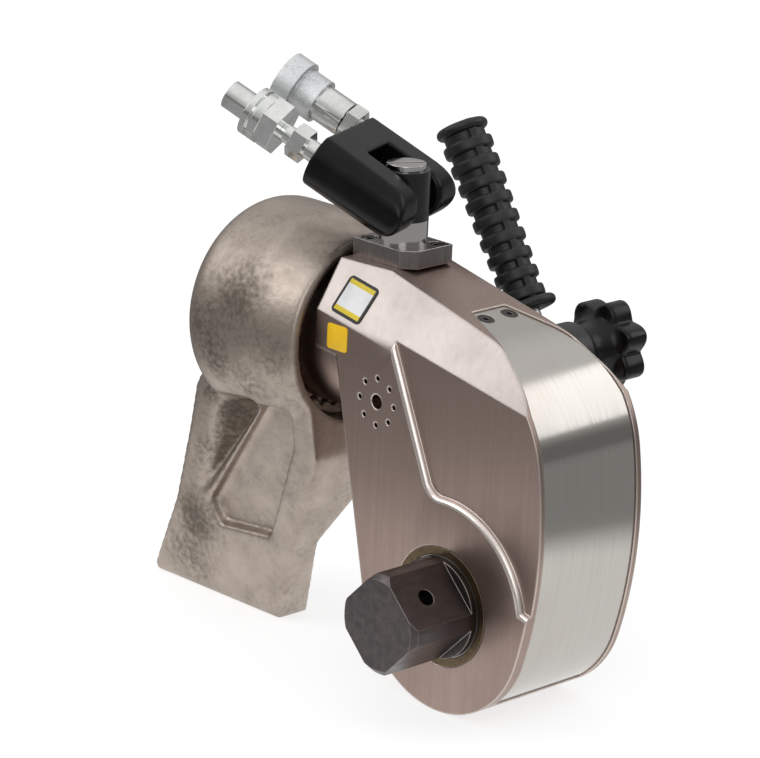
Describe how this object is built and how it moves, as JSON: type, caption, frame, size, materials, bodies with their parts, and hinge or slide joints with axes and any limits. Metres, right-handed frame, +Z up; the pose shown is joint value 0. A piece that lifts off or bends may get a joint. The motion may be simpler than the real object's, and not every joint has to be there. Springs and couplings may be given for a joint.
{
  "type": "hydraulic torque wrench",
  "caption": "Square drive hydraulic torque wrench with a sliding splined reaction arm, a tilting twin hose swivel and a bolt-on ribbed positioning handle.",
  "frame": {"origin": "on the drive axis, in the plane of the drive side face", "axes": "+X from the cylinder towards the nose, +Y from the drive side to the handle side, +Z up"},
  "size_m": [0.2743, 0.1978, 0.2735],
  "materials": {
    "nickel": "satin nickel plate over forged steel",
    "stainless": "brushed sheet",
    "cast": "plated forging with a mottled skin",
    "black_oxide": "black oxide",
    "flange_steel": "satin",
    "chromed": "polished",
    "manifold_black": "gloss black",
    "zinc": "bright zinc plate",
    "screw_steel": "black oxide",
    "steel": "ground",
    "spring_steel": "bright wire",
    "bronze": "bearing bronze",
    "handle_metal": "dark anodised",
    "seal_rubber": "matte",
    "grip_rubber": "satin",
    "knob_plastic": "gloss black",
    "tag_white": "blank tag",
    "tag_yellow": "blank tag"
  },
  "bodies": {
    "frame": {"housing": "nickel", "cylinder_cap": "steel", "cap_seal": "seal_rubber", "rod_gland": "bronze", "rod_seal": "seal_rubber", "near_drive_bush": "bronze", "far_drive_bush": "bronze", "front_shroud": "stainless", "shroud_screws": "screw_steel", "swivel_flange": "flange_steel", "flange_screws": "screw_steel", "bevel_tag": "tag_white", "side_tag": "tag_yellow", "pawl_pin": "steel", "pawl_spring": "spring_steel"},
    "lever": {"drive_plates": "steel", "shoe_guide": "steel", "guide_pins": "steel", "shoe_springs": "spring_steel"},
    "piston": {"piston": "steel", "piston_seal": "seal_rubber", "piston_rod": "steel", "rod_pin": "steel"},
    "shoe": {"drive_shoe": "steel"},
    "rotor": {"ratchet_wheel": "steel", "square_drive": "black_oxide", "drive_retainer": "black_oxide", "release_spring": "spring_steel"},
    "release": {"release_button": "steel"},
    "pawl": {"holding_pawl": "steel"},
    "arm": {"reaction_arm": "cast", "latch_bush": "steel", "latch_spring": "spring_steel"},
    "latch": {"latch_plunger": "steel"},
    "swivel": {"swivel_post": "chromed", "post_plug": "chromed", "post_seal": "seal_rubber"},
    "manifold": {"swivel_manifold": "manifold_black", "pivot_pin": "steel", "near_adapter": "zinc", "far_adapter": "zinc", "male_nipple": "zinc", "female_coupler": "zinc"},
    "collar": {"coupler_collar": "zinc"},
    "handle": {"handle_hub": "handle_metal", "grip_core": "steel", "handle_grip": "grip_rubber", "index_pins": "steel"},
    "knob": {"clamp_knob": "knob_plastic", "knob_stud": "steel"}
  },
  "joints": [
    {"name": "lever_swing", "type": "hinge", "parent": "frame", "child": "lever", "pos_m": [0, 0.0355, 0], "axis": [0, 1, 0], "range_deg": [0, 30]},
    {"name": "piston_stroke", "type": "slide", "parent": "frame", "child": "piston", "axis": [1, 0, 0], "range_m": [0, 0.05387]},
    {"name": "shoe_drop", "type": "slide", "parent": "lever", "child": "shoe", "axis": [0.3256, 0, -0.9455], "range_m": [0, 0.0052], "deforming": ["shoe_springs"]},
    {"name": "drive_turn", "type": "hinge", "parent": "frame", "child": "rotor", "pos_m": [0, 0.0355, 0], "axis": [0, 1, 0], "continuous": true},
    {"name": "release_press", "type": "slide", "parent": "rotor", "child": "release", "axis": [0, -1, 0], "range_m": [0, 0.003], "stiffness_N_per_m": 1500, "springref_m": -0.002, "deforming": ["release_spring"]},
    {"name": "pawl_swing", "type": "hinge", "parent": "frame", "child": "pawl", "pos_m": [0.04525, 0.0355, 0.04417], "axis": [0, -1, 0], "range_deg": [0, 5.2], "stiffness_Nm_per_rad": 3, "springref_deg": -5.73, "deforming": ["pawl_spring"]},
    {"name": "arm_slide", "type": "slide", "parent": "frame", "child": "arm", "axis": [-1, 0, 0], "range_m": [0, 0.06]},
    {"name": "latch_push", "type": "slide", "parent": "arm", "child": "latch", "axis": [0, -1, 0], "range_m": [0, 0.004], "deforming": ["latch_spring"]},
    {"name": "swivel_turn", "type": "hinge", "parent": "frame", "child": "swivel", "pos_m": [-0.069, 0.0355, 0.1492], "axis": [0, 0, 1], "range_deg": [-45, 205]},
    {"name": "manifold_tilt", "type": "hinge", "parent": "swivel", "child": "manifold", "pos_m": [-0.069, 0.0355, 0.1692], "axis": [-0.3584, 0.9336, 0], "range_deg": [-16, 144]},
    {"name": "collar_turn", "type": "hinge", "parent": "manifold", "child": "collar", "pos_m": [-0.13189, 0.03385, 0.20502], "axis": [-0.8391, -0.3221, 0.4384], "continuous": true},
    {"name": "handle_pull", "type": "slide", "parent": "frame", "child": "handle", "axis": [0, 1, 0], "range_m": [0, 0.014]},
    {"name": "knob_turn", "type": "hinge", "parent": "handle", "child": "knob", "pos_m": [-0.0458, 0.1335, 0.0846], "axis": [0, 1, 0], "continuous": true}
  ],
  "couplings": [
    {"joint": "piston_stroke", "follows": "lever_swing", "m_per_rad": 0.10289}
  ]
}
